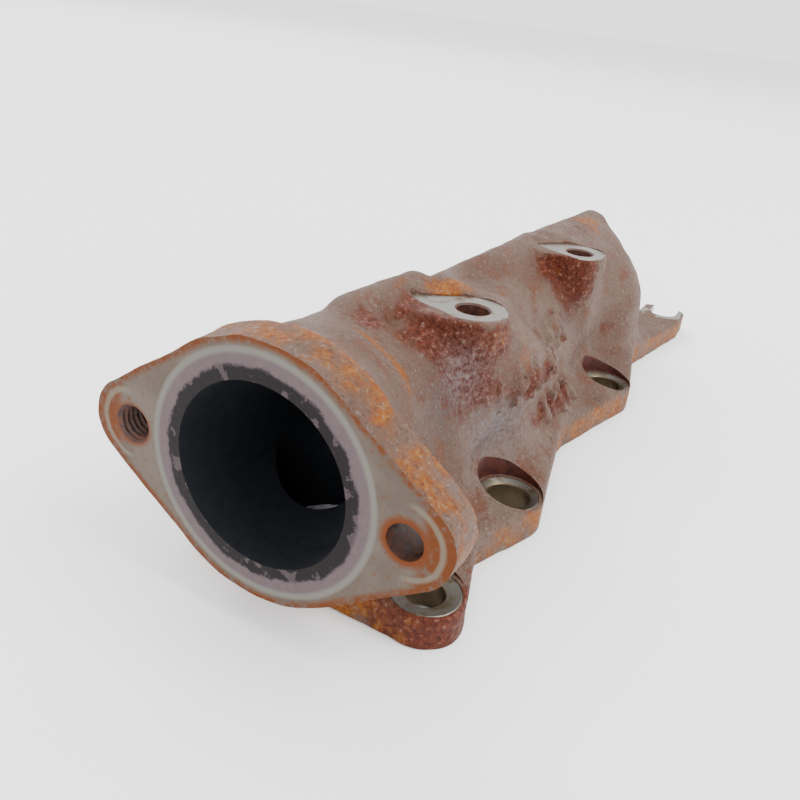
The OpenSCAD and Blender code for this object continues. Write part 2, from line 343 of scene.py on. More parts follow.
def add_marks(field, low):
    """Two rows of short raised strokes on the middle runner: casting marks that spell nothing."""
    strokes = []
    for i in range(10):
        foot, lean = np.array((52 + 6.9 * i, 28.5 + 0.1 * i)), (-1.5, 1.2, 0.0)[i % 3]
        strokes.append((foot, foot + (lean, 7.5)))
        if i % 3:
            strokes.append((foot + (0.5, 3.5), foot + (3.6, 7.0 - 2 * (i % 2))))
    for i in range(5):
        foot = np.array((81 + 6.5 * i, 15.5 - 0.5 * i))
        strokes.append((foot, foot + (0.8, 6.5)))
        strokes.append((foot + (0.5, 6.2 * (i % 2)), foot + (3.4, 3.0)))
    for start, end in strokes:
        ends = []
        for px, pz in (start, end):
            column = field[round((px - low[0]) / CELL), :, round((pz - low[2]) / CELL)]
            ends.append((px, low[1] + CELL * np.argmax(column < 0) - 0.75, pz))
        corner = [int((min(a, b) - 5 - o) / CELL) for a, b, o in zip(*ends, low)]
        far = [int((max(a, b) + 5 - o) / CELL) for a, b, o in zip(*ends, low)]
        part = tuple(slice(max(c, 0), f) for c, f in zip(corner, far))
        lines = [o + CELL * np.arange(p.start, p.stop) for o, p in zip(low, part)]
        x, y, z = np.meshgrid(*lines, indexing="ij")
        field[part] = join(field[part], bar(x, y, z, *ends, 1.2, 1.2), 0.5)


# ---------------------------------------------------------------- meshing
def surface_mesh(field, low, step):
    """Vertices and quads on the zero level of a field on a grid: one vertex in each cell that it crosses."""
    inside = field < 0
    n = field.shape
    corner_offsets = list(itertools.product((0, 1), repeat=3))
    count = np.zeros([s - 1 for s in n], np.int8)
    for i, j, k in corner_offsets:
        count += inside[i:n[0] - 1 + i, j:n[1] - 1 + j, k:n[2] - 1 + k]
    active = (count > 0) & (count < 8)
    index = np.full(active.shape, -1, np.int64)
    cells = np.argwhere(active)
    index[active] = np.arange(len(cells))
    values = np.stack([field[tuple((cells + o).T)] for o in corner_offsets], 1)
    total, crossings = np.zeros((len(cells), 3)), np.zeros(len(cells))
    for a, b in itertools.combinations(range(8), 2):
        oa, ob = np.array(corner_offsets[a]), np.array(corner_offsets[b])
        if np.abs(oa - ob).sum() != 1:
            continue
        va, vb = values[:, a], values[:, b]
        hit = (va < 0) != (vb < 0)
        t = np.where(hit, va / np.where(hit, va - vb, 1), 0)
        total += np.where(hit[:, None], oa + (ob - oa) * t[:, None], 0)
        crossings += hit
    vertices = low + step * (cells + total / crossings[:, None])
    quads = []
    for axis in range(3):
        u, v = (axis + 1) % 3, (axis + 2) % 3
        first = [slice(None)] * 3
        second = [slice(None)] * 3
        first[axis], second[axis] = slice(0, -1), slice(1, None)
        change = inside[tuple(first)] != inside[tuple(second)]
        edges = np.argwhere(change)
        keep = (edges[:, u] > 0) & (edges[:, v] > 0) & (edges[:, u] < n[u] - 1) & (edges[:, v] < n[v] - 1)
        edges = edges[keep]
        outward = inside[tuple(edges.T)]
        ring = []
        for du, dv in ((0, 0), (-1, 0), (-1, -1), (0, -1)):
            cell = edges.copy()
            cell[:, u] += du
            cell[:, v] += dv
            ring.append(index[tuple(cell.T)])
        ring = np.stack(ring, 1)
        quads.append(np.where(outward[:, None], ring, ring[:, ::-1]))
    return vertices, np.concatenate(quads)


def make_object(name, vertices, faces):
    """A mesh object from points in millimetres."""
    mesh = bpy.data.meshes.new(name)
    if isinstance(faces, np.ndarray):
        faces = faces.tolist()
    mesh.from_pydata((np.array(vertices) * MM).tolist(), [], faces)
    mesh.update()
    obj = bpy.data.objects.new(name, mesh)
    bpy.context.scene.collection.objects.link(obj)
    return obj


def lathe(name, outline, steps, centre, axis="Z"):
    """A turned solid from (radius, height) points; an outline that never meets the axis makes a ring."""
    points, faces, rings = [], [], []
    for radius, height in outline:
        if radius == 0:
            rings.append([len(points)])
            points.append((0, 0, height))
            continue
        rings.append(list(range(len(points), len(points) + steps)))
        for i in range(steps):
            a = 2 * math.pi * i / steps
            points.append((radius * math.cos(a), radius * math.sin(a), height))
    pairs = list(zip(rings, rings[1:]))
    if len(rings[0]) > 1:
        pairs.append((rings[-1], rings[0]))
    for a, b in pairs:
        for i in range(steps):
            j = (i + 1) % steps
            if len(a) == 1:
                faces.append((a[0], b[i], b[j]))
            elif len(b) == 1:
                faces.append((a[i], b[0], a[j]))
            else:
                faces.append((a[i], b[i], b[j], a[j]))
    points = np.array(points)
    if axis == "X":
        points = points[:, [2, 1, 0]] * (1, -1, 1)
    return make_object(name, points + np.array(centre), faces)


def cylinder(name, radius, low, high, centre, axis="Z", steps=96, flare=0.0):
    """A cutter; flare widens its high end, for a chamfered mouth."""
    outline = [(0, low), (radius, low)]
    if flare:
        outline += [(radius, high - 2 * flare), (radius + 2 * flare, high)]
    else:
        outline.append((radius, high))
    outline.append((0, high))
    return lathe(name, outline, steps, centre, axis)


def block(name, low, high):
    """A box between two corners."""
    points = list(itertools.product(*zip(low, high)))
    faces = [(0, 1, 3, 2), (4, 6, 7, 5), (0, 4, 5, 1), (2, 3, 7, 6), (0, 2, 6, 4), (1, 5, 7, 3)]
    return make_object(name, points, faces)


def teardrop(name, pad, tip):
    """The milled top of a boss: a round pad that narrows to a tip, cut down from above."""
    along = tip - pad
    heading = math.atan2(along[1], along[0])
    lean = math.acos((PAD_R - PAD_TIP_R) / math.hypot(along[0], along[1]))
    outline = []
    for centre, radius, start, end in ((pad, PAD_R, lean, 2 * math.pi - lean), (tip, PAD_TIP_R, -lean, lean)):
        for a in np.linspace(heading + start, heading + end, 64):
            outline.append((centre[0] + radius * math.cos(a), centre[1] + radius * math.sin(a)))
    n = len(outline)
    points = [(px, py, PAD_Z + h) for h in (0, 12) for px, py in outline]
    faces = [tuple(range(n)), tuple(range(n, 2 * n))]
    faces += [(i, (i + 1) % n, (i + 1) % n + n, i + n) for i in range(n)]
    return make_object(name, points, faces)


def carve(obj, cutter):
    """Applies one cut, and removes the cutter."""
    fix_normals(cutter)
    modifier = obj.modifiers.new("cut", "BOOLEAN")
    modifier.object = cutter
    modifier.operation = "DIFFERENCE"
    modifier.solver = "MANIFOLD"
    depsgraph = bpy.context.evaluated_depsgraph_get()
    made = bpy.data.meshes.new_from_object(obj.evaluated_get(depsgraph))
    obj.modifiers.clear()
    old = obj.data
    obj.data = made
    bpy.data.meshes.remove(old)
    bpy.data.objects.remove(cutter)


def fix_normals(obj):
    """Turns a closed mesh's faces outward."""
    work = bmesh.new()
    work.from_mesh(obj.data)
    bmesh.ops.recalc_face_normals(work, faces=work.faces)
    work.to_mesh(obj.data)
    work.free()


def thread_cutter(name, centre, depth, steps=64, pitch=1.25, height=0.75):
    """A tapped hole's shape along X: a wall whose radius rises and falls along a helix."""
    rows = int(depth / pitch * 10)
    points, faces = [], []
    for j in range(rows + 1):
        along = depth * j / rows
        for i in range(steps):
            turn = i / steps
            angle = 2 * math.pi * turn
            wave = abs(((along / pitch - turn) % 1.0) * 2 - 1)
            mouth = max(0.0, 1.0 - along) * 0.9
            radius = max(THREAD_R + height * wave, THREAD_R + mouth)
            points.append((along, radius * math.cos(angle), radius * math.sin(angle)))
    for j in range(rows):
        for i in range(steps):
            k = (i + 1) % steps
            faces.append((j * steps + i, j * steps + k, (j + 1) * steps + k, (j + 1) * steps + i))
    faces.append(tuple(range(steps)))
    faces.append(tuple(range(rows * steps, (rows + 1) * steps)))
    return make_object(name, np.array(points) + np.array(centre), faces)


def build_casting():
    """The cast body from its field, then every machined face and hole cut into it."""
    low = np.array([-28.0, -18.0, -4.0])
    size = np.array([282.0, 92.0, 72.0])
    n = np.ceil(size / CELL).astype(int)
    x, y, z = (low[i] + CELL * np.arange(n[i], dtype=np.float32) for i in range(3))
    x, y, z = x[:, None, None], y[None, :, None], z[None, None, :]
    field = np.array(cast_field(x, y, z))
    add_marks(field, low)
    for axis in range(3):
        ends = np.moveaxis(field, axis, 0)
        ends[0] = ends[-1] = CELL
    vertices, quads = surface_mesh(field, low, CELL)
    casting = make_object("casting", vertices, quads)

    carve(casting, block("below", (-40, -30, -10), (260, 90, 0)))
    carve(casting, block("beyond_outlet", (-40, -30, -10), (OUTLET[0], 90, 80)))
    for p in PORTS:
        carve(casting, cylinder("port", PORT_R, -5, 28, (p, PORT_Y, 0)))
    carve(casting, cylinder("bore", OUTLET_BORE, -5, OUTLET_T, OUTLET, "X"))
    cone = lathe("cone", [(0, 0), (CONE[0], 0), (CONE[1], CONE_LENGTH), (0, CONE_LENGTH)], 96,
                 (CONE_X, OUTLET[1], OUTLET[2]), "X")
    drift = np.array((0, PASSAGE[0] - OUTLET[1], PASSAGE[1] - OUTLET[2])) * MM
    for vertex in cone.data.vertices:
        vertex.co += Vector(drift) * ((vertex.co.x / MM - CONE_X) / CONE_LENGTH)
    carve(casting, cone)
    carve(casting, cylinder("log_bore", PASSAGE_R, 0, 182, (6, *PASSAGE), "X"))
    for seat in SEATS:
        foot = (seat[0], seat[1], 0)
        carve(casting, cylinder("spot", SPOT_R, SEAT_Z, SPOT_TOP, foot, steps=128))
        head_low = SEAT_Z - SLEEVE_HEAD_T - SLEEVE_GAP
        carve(casting, cylinder("head_seat", SLEEVE_HEAD_R + SLEEVE_GAP, head_low, 20, foot))
        carve(casting, cylinder("body_hole", SLEEVE_BODY_R + SLEEVE_GAP, -5, 20, foot))
    for hole in BACK_HOLES:
        foot = (hole[0], hole[1], 0)
        carve(casting, cylinder("spot", BACK_SPOT_R, SEAT_Z, SPOT_TOP, foot, steps=128))
        carve(casting, cylinder("back_hole", BACK_BORE, -5, 20, foot))
    for pad, tip in zip(PADS, PAD_TIPS):
        carve(casting, teardrop("pad_face", pad, tip))
        carve(casting, cylinder("pad_hole", PAD_BORE, -7, 0.01, pad, flare=0.25))
    carve(casting, cylinder("slot_spot", SLOT_SPOT_R, SEAT_Z, 20, SLOT, steps=128))
    carve(casting, cylinder("slot_end", SLOT_R, -5, 20, SLOT))
    carve(casting, block("slot", (SLOT[0], -SLOT_R, -5), (TIP_X + 5, SLOT_R, 20)))
    carve(casting, thread_cutter("thread", TAPPED[1], OUTLET_T + 4))
    carve(casting, cylinder("plain_hole", THREAD_R + 0.35, -5, OUTLET_T + 4, TAPPED[0], "X"))
    return casting


def build_sleeve(number, seat, bore):
    """A flanged seat sleeve, with small chamfers and a dished head."""
    c = 0.25
    bottom = SEAT_Z - SLEEVE_HEAD_T
    outline = [
        (bore + c, 0), (SLEEVE_BODY_R - c, 0), (SLEEVE_BODY_R, c), (SLEEVE_BODY_R, bottom),
        (SLEEVE_HEAD_R, bottom), (SLEEVE_HEAD_R, SEAT_Z - c), (SLEEVE_HEAD_R - c, SEAT_Z - 0.02),
        (bore + c, SEAT_Z - SLEEVE_DISH), (bore, SEAT_Z - SLEEVE_DISH - c), (bore, c),
    ]
    sleeve = lathe(f"sleeve_{number}", outline, 96, (seat[0], seat[1], 0))
    fix_normals(sleeve)
    return sleeve


# ---------------------------------------------------------------- materials
DARKEN = 0.25
SATURATION = 1.35


def srgb(red, green, blue):
    """A screen colour, 0 to 255, as the darker linear colour that the strong light needs."""
    linear = np.array([(v / 255) ** 2.2 for v in (red, green, blue)])
    strong = linear.mean() + (linear - linear.mean()) * SATURATION
    return tuple(float(v) for v in np.clip(strong, 0, 1) * DARKEN) + (1.0,)


def put(tree, kind, *inputs, **settings):
    """Adds a node; its first inputs take values or links, in order."""
    node = tree.nodes.new(kind)
    for name, value in settings.items():
        setattr(node, name, value)
    for socket, value in zip(node.inputs, inputs):
        if isinstance(value, bpy.types.NodeSocket):
            tree.links.new(value, socket)
        elif value is not None:
            socket.default_value = value
    return node


def noise(tree, where, size, detail=3.0, rough=0.55):
    """Noise from 0 to 1 whose patches are about size millimetres across."""
    node = put(tree, "ShaderNodeTexNoise")
    tree.links.new(where, node.inputs["Vector"])
    node.inputs["Scale"].default_value = 1000 / size
    node.inputs["Detail"].default_value = detail
    node.inputs["Roughness"].default_value = rough
    return node.outputs[0]


def step(tree, value, low, high):
    """0 below low, 1 above high, smooth between them; low may be the greater."""
    node = put(tree, "ShaderNodeMapRange", value, low, high, 0.0, 1.0, interpolation_type="SMOOTHSTEP")
    return node.outputs[0]


def calc(tree, operation, a, b=None):
    """One step of arithmetic on values or links."""
    return put(tree, "ShaderNodeMath", a, b, operation=operation).outputs[0]


def mix(tree, factor, a, b):
    """Colour a where the factor is 0, and b where it is 1."""
    node = put(tree, "ShaderNodeMix", factor, data_type="RGBA")
    for socket, value in ((node.inputs[6], a), (node.inputs[7], b)):
        if isinstance(value, bpy.types.NodeSocket):
            tree.links.new(value, socket)
        else:
            socket.default_value = value
    return node.outputs[2]


def distance(tree, where, centre, axis):
    """Distance in millimetres from a line through centre along X or Z."""
    keep = (0, 1, 1) if axis == "X" else (1, 1, 0)
    centre = tuple(v * MM for v in centre)
    gap = put(tree, "ShaderNodeVectorMath", where, centre, operation="SUBTRACT").outputs[0]
    flat = put(tree, "ShaderNodeVectorMath", gap, keep, operation="MULTIPLY").outputs[0]
    length = put(tree, "ShaderNodeVectorMath", flat, operation="LENGTH").outputs["Value"]
    return calc(tree, "MULTIPLY", length, 1000.0)


def new_material(name, roughness, metallic=0.0, specular=0.5):
    """A material with its tree, its shader and the object's own coordinates."""
    material = bpy.data.materials.new(name)
    material.use_nodes = True
    tree = material.node_tree
    shader = tree.nodes["Principled BSDF"]
    shader.inputs["Roughness"].default_value = roughness
    shader.inputs["Metallic"].default_value = metallic
    shader.inputs["Specular IOR Level"].default_value = specular
    where = put(tree, "ShaderNodeTexCoord").outputs["Object"]
    return material, tree, shader, where


def finish_surface(tree, shader, colour, roughness, height, depth):
    """Links colour, roughness and bump; depth is the bump's full height in millimetres."""
    tree.links.new(colour, shader.inputs["Base Color"])
    tree.links.new(roughness, shader.inputs["Roughness"])
    bump = put(tree, "ShaderNodeBump")
    bump.inputs["Strength"].default_value = 1.0
    bump.inputs["Distance"].default_value = depth * MM
    tree.links.new(height, bump.inputs["Height"])
    tree.links.new(bump.outputs[0], shader.inputs["Normal"])


def span(tree, value, low, high):
    """A 0 to 1 value spread from low to high."""
    return put(tree, "ShaderNodeMapRange", value, 0.0, 1.0, low, high).outputs[0]


def rusty_iron():
    """The cast surface: mauve-brown iron, with red rust, orange rust and grime where the mesh says; the red
    rust and the grime also hold painted shade, and the glossy patches a painted highlight.
    """
    material, tree, shader, where = new_material("rusty_iron", 0.6, 0.0, 0.2)
    zones = put(tree, "ShaderNodeAttribute", attribute_name="rust").outputs
    warm, red_rust_and_shade, grime_and_painted_shade = put(tree, "ShaderNodeSeparateColor", zones["Color"]).outputs[:3]
    gloss_and_painted_highlight = zones["Alpha"]
    patches = noise(tree, where, 22, 4)
    blotches = noise(tree, where, 7, 5, 0.65)
    grain = noise(tree, where, 1.3, 4, 0.7)
    specks = noise(tree, where, 0.8, 2)
    colour = mix(tree, step(tree, patches, 0.35, 0.65), srgb(142, 113, 99), srgb(163, 138, 126))
    colour = mix(tree, step(tree, blotches, 0.48, 0.66), colour, srgb(146, 102, 84))
    # dark red rust, which in the valleys, in the dent below pad 2 and just under the pad edges is painted
    # shade as well
    red_rust_and_shade_edge = step(tree, calc(tree, "ADD", red_rust_and_shade, calc(tree, "MULTIPLY", blotches, 0.9)), 0.72, 1.05)
    dark_red = mix(tree, step(tree, grain, 0.35, 0.65), srgb(100, 48, 36), srgb(152, 84, 62))
    colour = mix(tree, red_rust_and_shade_edge, colour, dark_red)
    warm_edge = step(tree, calc(tree, "ADD", warm, blotches), 0.78, 1.08)
    orange = mix(tree, step(tree, grain, 0.35, 0.65), srgb(180, 104, 40), srgb(214, 146, 72))
    colour = mix(tree, warm_edge, colour, orange)
    # grey: crusty grime in valley 1, and painted shade in the dent below pad 2
    grime_and_shade_mask = calc(tree, "MULTIPLY", grime_and_painted_shade, step(tree, grain, 0.4, 0.6))
    colour = mix(tree, grime_and_shade_mask, colour, srgb(84, 80, 84))
    bright = calc(tree, "MULTIPLY", step(tree, grain, 0.57, 0.7), 0.7)
    colour = mix(tree, bright, colour, srgb(206, 188, 182))
    dark = calc(tree, "MULTIPLY", step(tree, specks, 0.45, 0.3), 0.5)
    colour = mix(tree, dark, colour, srgb(84, 54, 46))
    # painted highlight: pale colour on the glossy patches, where a sparkle of light falls
    painted_highlight = calc(tree, "MULTIPLY", gloss_and_painted_highlight, step(tree, grain, 0.35, 0.6))
    colour = mix(tree, painted_highlight, colour, srgb(176, 168, 170))
    height = calc(tree, "ADD", grain, calc(tree, "MULTIPLY", specks, 0.4))
    dull = calc(tree, "SUBTRACT", span(tree, grain, 0.8, 0.35), calc(tree, "MULTIPLY", gloss_and_painted_highlight, 0.18))
    finish_surface(tree, shader, colour, dull, height, 0.6)
    return material


def outlet_rim(tree, where, from_bore):
    """1 within about a millimetre of the outlet face's outline: flanks, round middle and tips."""
    half = abs(TAPPED[1][1] - TAPPED[0][1]) / 2
    lean = math.asin((OUTLET_R - TIP_R) / half)
    gap = put(tree, "ShaderNodeVectorMath", where, tuple(OUTLET * MM), operation="SUBTRACT").outputs[0]
    gap = put(tree, "ShaderNodeVectorMath", gap, operation="ABSOLUTE").outputs[0]
    parts = put(tree, "ShaderNodeSeparateXYZ", gap).outputs[1:]
    across, up = (calc(tree, "MULTIPLY", part, 1000.0) for part in parts)
    sideways = calc(tree, "MULTIPLY", across, math.sin(lean))
    flank = calc(tree, "ADD", sideways, calc(tree, "MULTIPLY", up, math.cos(lean)))
    rim = step(tree, flank, OUTLET_R - 2.0, OUTLET_R - 0.5)
    past_flank = calc(tree, "SUBTRACT", up, calc(tree, "MULTIPLY", across, 1 / math.tan(lean)))
    middle = step(tree, past_flank, -1.0, 2.0)
    round_edge = step(tree, from_bore, OUTLET_R - 2.0, OUTLET_R - 0.5)
    rim = calc(tree, "MAXIMUM", rim, calc(tree, "MULTIPLY", middle, round_edge))
    for hole in TAPPED:
        tip = step(tree, distance(tree, where, hole, "X"), TIP_R - 1.6, TIP_R - 0.4)
        outside = step(tree, from_bore, half + 2, half + 5)
        rim = calc(tree, "MAXIMUM", rim, calc(tree, "MULTIPLY", tip, outside))
    return rim


def outlet_face():
    """The milled outlet face: a lilac sealing ring, soot round the bore, rust at the bolt holes."""
    material, tree, shader, where = new_material("outlet_face", 0.5, 0.0, 0.15)
    from_bore = distance(tree, where, OUTLET, "X")
    blotches = noise(tree, where, 9, 4)
    fine = noise(tree, where, 1.6, 4, 0.65)
    waver = calc(tree, "SUBTRACT", noise(tree, where, 5, 6, 0.7), 0.5)
    ragged = calc(tree, "ADD", from_bore, calc(tree, "MULTIPLY", waver, 3.2))
    colour = mix(tree, step(tree, blotches, 0.35, 0.65), srgb(142, 128, 118), srgb(160, 148, 138))
    colour = mix(tree, step(tree, fine, 0.55, 0.72), colour, srgb(150, 112, 88))
    rim = outlet_rim(tree, where, from_bore)
    rim = calc(tree, "MULTIPLY", rim, step(tree, calc(tree, "ADD", blotches, fine), 0.7, 1.05))
    colour = mix(tree, rim, colour, srgb(146, 88, 58))
    for hole in TAPPED:
        from_hole = distance(tree, where, hole, "X")
        worn = calc(tree, "ADD", from_hole, calc(tree, "MULTIPLY", blotches, 1.5))
        pale = calc(tree, "MULTIPLY", step(tree, worn, 7.4, 8.0), step(tree, worn, 9.2, 8.4))
        outside = calc(tree, "MULTIPLY", step(tree, from_bore, 31.5, 34.5), 0.7)
        colour = mix(tree, calc(tree, "MULTIPLY", pale, outside), colour, srgb(186, 178, 162))
        colour = mix(tree, step(tree, worn, 6.6, 4.8), colour, srgb(152, 88, 56))
    colour = mix(tree, step(tree, from_bore, 26.4, 25.6), colour, srgb(180, 176, 168))
    lilac = mix(tree, fine, srgb(132, 116, 120), srgb(168, 152, 156))
    colour = mix(tree, step(tree, from_bore, 25.2, 24.2), colour, lilac)
    flaking = step(tree, noise(tree, where, 3.5, 4), 0.56, 0.6)
    unflaked = calc(tree, "SUBTRACT", 1.0, calc(tree, "MULTIPLY", flaking, 0.5))
    sooty = calc(tree, "MULTIPLY", step(tree, ragged, 22.7, 21.8), unflaked)
    colour = mix(tree, sooty, colour, mix(tree, fine, srgb(22, 18, 22), srgb(52, 42, 44)))
    finish_surface(tree, shader, colour, span(tree, fine, 0.42, 0.65), fine, 0.12)
    return material


def soot():
    """Dry soot on the inside."""
    material, tree, shader, where = new_material("soot", 0.85, 0.0, 0.2)
    fine = noise(tree, where, 2.5, 5, 0.65)
    colour = mix(tree, fine, srgb(34, 37, 43), srgb(62, 65, 72))
    finish_surface(tree, shader, colour, span(tree, fine, 0.7, 0.95), fine, 0.2)
    return material


def milled_iron():
    """Bare milled iron with faint cutter marks and a little rust."""
    material, tree, shader, where = new_material("milled_iron", 0.4, 0.2)
    sweep = put(tree, "ShaderNodeTexWave", where, wave_type="BANDS", bands_direction="DIAGONAL")
    sweep.inputs["Scale"].default_value = 420
    sweep.inputs["Distortion"].default_value = 3
    fine = noise(tree, where, 2.2, 4, 0.65)
    colour = mix(tree, fine, srgb(176, 170, 162), srgb(214, 208, 200))
    colour = mix(tree, step(tree, noise(tree, where, 5, 4), 0.56, 0.68), colour, srgb(160, 124, 98))
    height = calc(tree, "ADD", fine, calc(tree, "MULTIPLY", sweep.outputs["Fac"], 0.4))
    finish_surface(tree, shader, colour, span(tree, fine, 0.3, 0.55), height, 0.06)
    return material


def head_face():
    """The milled underside: grey iron with patches of rust, and soot in rings round the ports."""
    material, tree, shader, where = new_material("head_face", 0.5, 0.3)
    fine = noise(tree, where, 2.0, 5, 0.65)
    patches = noise(tree, where, 14, 4)
    colour = mix(tree, step(tree, patches, 0.35, 0.65), srgb(134, 118, 106), srgb(162, 146, 134))
    colour = mix(tree, step(tree, patches, 0.55, 0.7), colour, srgb(156, 98, 62))
    for port in PORTS:
        from_port = distance(tree, where, (port, PORT_Y, 0), "Z")
        ring = calc(tree, "ADD", from_port, calc(tree, "MULTIPLY", fine, 3.0))
        colour = mix(tree, step(tree, ring, 20.0, 18.5), colour, srgb(44, 38, 38))
    finish_surface(tree, shader, colour, span(tree, fine, 0.4, 0.65), fine, 0.1)
    return material


def hole_rust(name, dark, light):
    """Rust on a cut wall: bolt holes, and the walls that the spot facing left."""
    material, tree, shader, where = new_material(name, 0.6, 0.1)
    fine = noise(tree, where, 1.5, 5, 0.65)
    colour = mix(tree, step(tree, fine, 0.35, 0.65), dark, light)
    finish_surface(tree, shader, colour, span(tree, fine, 0.4, 0.75), fine, 0.15)
    return material


def seat_steel(number, seat, bore):
    """A sleeve: grey pressed head, brassy bore, both with fine turning marks."""
    material, tree, shader, where = new_material(f"seat_steel_{number}", 0.35, 0.75)
    from_axis = distance(tree, where, seat, "Z")
    fine = noise(tree, where, 1.2, 4, 0.65)
    stain = noise(tree, where, 4, 3)
    colour = mix(tree, fine, srgb(150, 146, 138), srgb(196, 192, 182))
    colour = mix(tree, step(tree, stain, 0.5, 0.62), colour, srgb(150, 138, 116))
    brass = mix(tree, stain, srgb(140, 122, 100), srgb(188, 170, 144))
    colour = mix(tree, step(tree, from_axis, bore + 0.5, bore + 0.2), colour, brass)
    turned = put(tree, "ShaderNodeMath", calc(tree, "MULTIPLY", from_axis, 18.0), operation="SINE").outputs[0]
    height = calc(tree, "ADD", fine, calc(tree, "MULTIPLY", turned, 0.3))
    finish_surface(tree, shader, colour, span(tree, fine, 0.25, 0.5), height, 0.04)
    return material


# ------------------------------------------------------------- rust zones, painted shade and painted highlight
# The casting's material slots, in the order that paint_casting fills them.
IRON, OUTLET_FACE, SOOT, MILLED, HEAD_FACE, HOLE_RUST, WALL_RUST = range(7)


def patch(points, centre, size):
    """1 at the centre, falling off over size along each axis."""
    return np.exp(-(((points - np.array(centre)) / np.array(size)) ** 2).sum(1))


def rust_and_painted_light_zones(points, normals):
    """Orange rust, dark red rust, grime and gloss at each point of the casting; the dark red rust and the
    grime also hold painted shade, and the glossy patches a painted highlight.
    """
    x, y, z = points.T
    warm = 0.16 + 0.0 * x
    warm += 0.24 * np.exp(-((x + 20) / 5) ** 4) + 0.8 * np.exp(-((x + 12) / 2.6) ** 2)
    warm += 0.3 * np.exp(-((z - 4) / 5) ** 4) * (np.abs(normals[:, 2]) < 0.6)
    for centre, size, amount in (
        ((60, 31, 55), (7, 5, 5), 0.55), ((16, 24, 50), (5, 14, 8), 0.45), ((44, 8, 50), (7, 8, 6), 0.3),
        ((66, 12, 40), (6, 6, 8), 0.3), ((178, 27, 54), (10, 6, 5), 0.4), ((0, -9, 4), (16, 7, 6), -0.3),
        ((20, -3, 4), (8, 5, 6), -0.1), ((-8, 2, 4), (8, 12, 7), -0.3),
        ((143, 10, 47), (4, 8, 7), 0.3), ((98, 20, 52), (20, 6, 4), 0.2), ((50, 40, 56), (20, 4, 4), 0.08),
    ):
        warm += amount * patch(points, centre, size)
    # dark red rust; the patches in the valleys, in the dent below pad 2 and just under the pad edges also
    # paint the shade that falls there
    red_rust_and_shade = 0.12 + 0.0 * x
    for centre, size, amount in (
        ((42, 22, 49), (9, 16, 5), 0.65), ((38, 20, 38), (11, 12, 10), 0.38), ((54, 10, 48), (9, 4, 5), 0.5),
        ((44, 12, 38), (9, 6, 10), 0.3),
        ((124, 18, 49), (10, 13, 6), 0.65), ((125, 12, 40), (9, 9, 9), 0.5), ((0, -9, 4), (14, 7, 6), 0.7),
        ((-8, 2, 4), (8, 12, 7), 0.6),
        ((24, 36, 54), (7, 5, 4), 0.4), ((42, 33, 54.5), (22, 3, 3), 0.4), ((80, 6, 18), (26, 5, 5), 0.3),
        ((165, 12, 22), (14, 8, 7), 0.3), ((172, 26, 54), (16, 6, 4), 0.35), ((100, 6, 30), (14, 5, 4), 0.3),
        ((66, 6, 32), (14, 6, 5), 0.35), ((92, 6, 31), (22, 6, 5), 0.3),
        ((96, 4, 17), (16, 5, 4), 0.3),
    ):
        red_rust_and_shade += amount * patch(points, centre, size)
    # a crusty grey patch in valley 1, and a dark spot painted as shade into the dent below pad 2
    grime_and_painted_shade = 0.7 * patch(points, (30, 15, 36), (10, 8, 10)) + 0.8 * patch(points, (120, 9, 34), (6, 7, 5))
    # glossy patches: lower roughness, and a pale painted highlight, on the lower front fillet and in valley 1
    gloss_and_painted_highlight = patch(points, (52, 8, 22), (12, 9, 8)) + 0.6 * patch(points, (40, 14, 40), (8, 8, 8))
    return np.clip(np.stack([warm, red_rust_and_shade, grime_and_painted_shade, gloss_and_painted_highlight], 1), 0, 1)


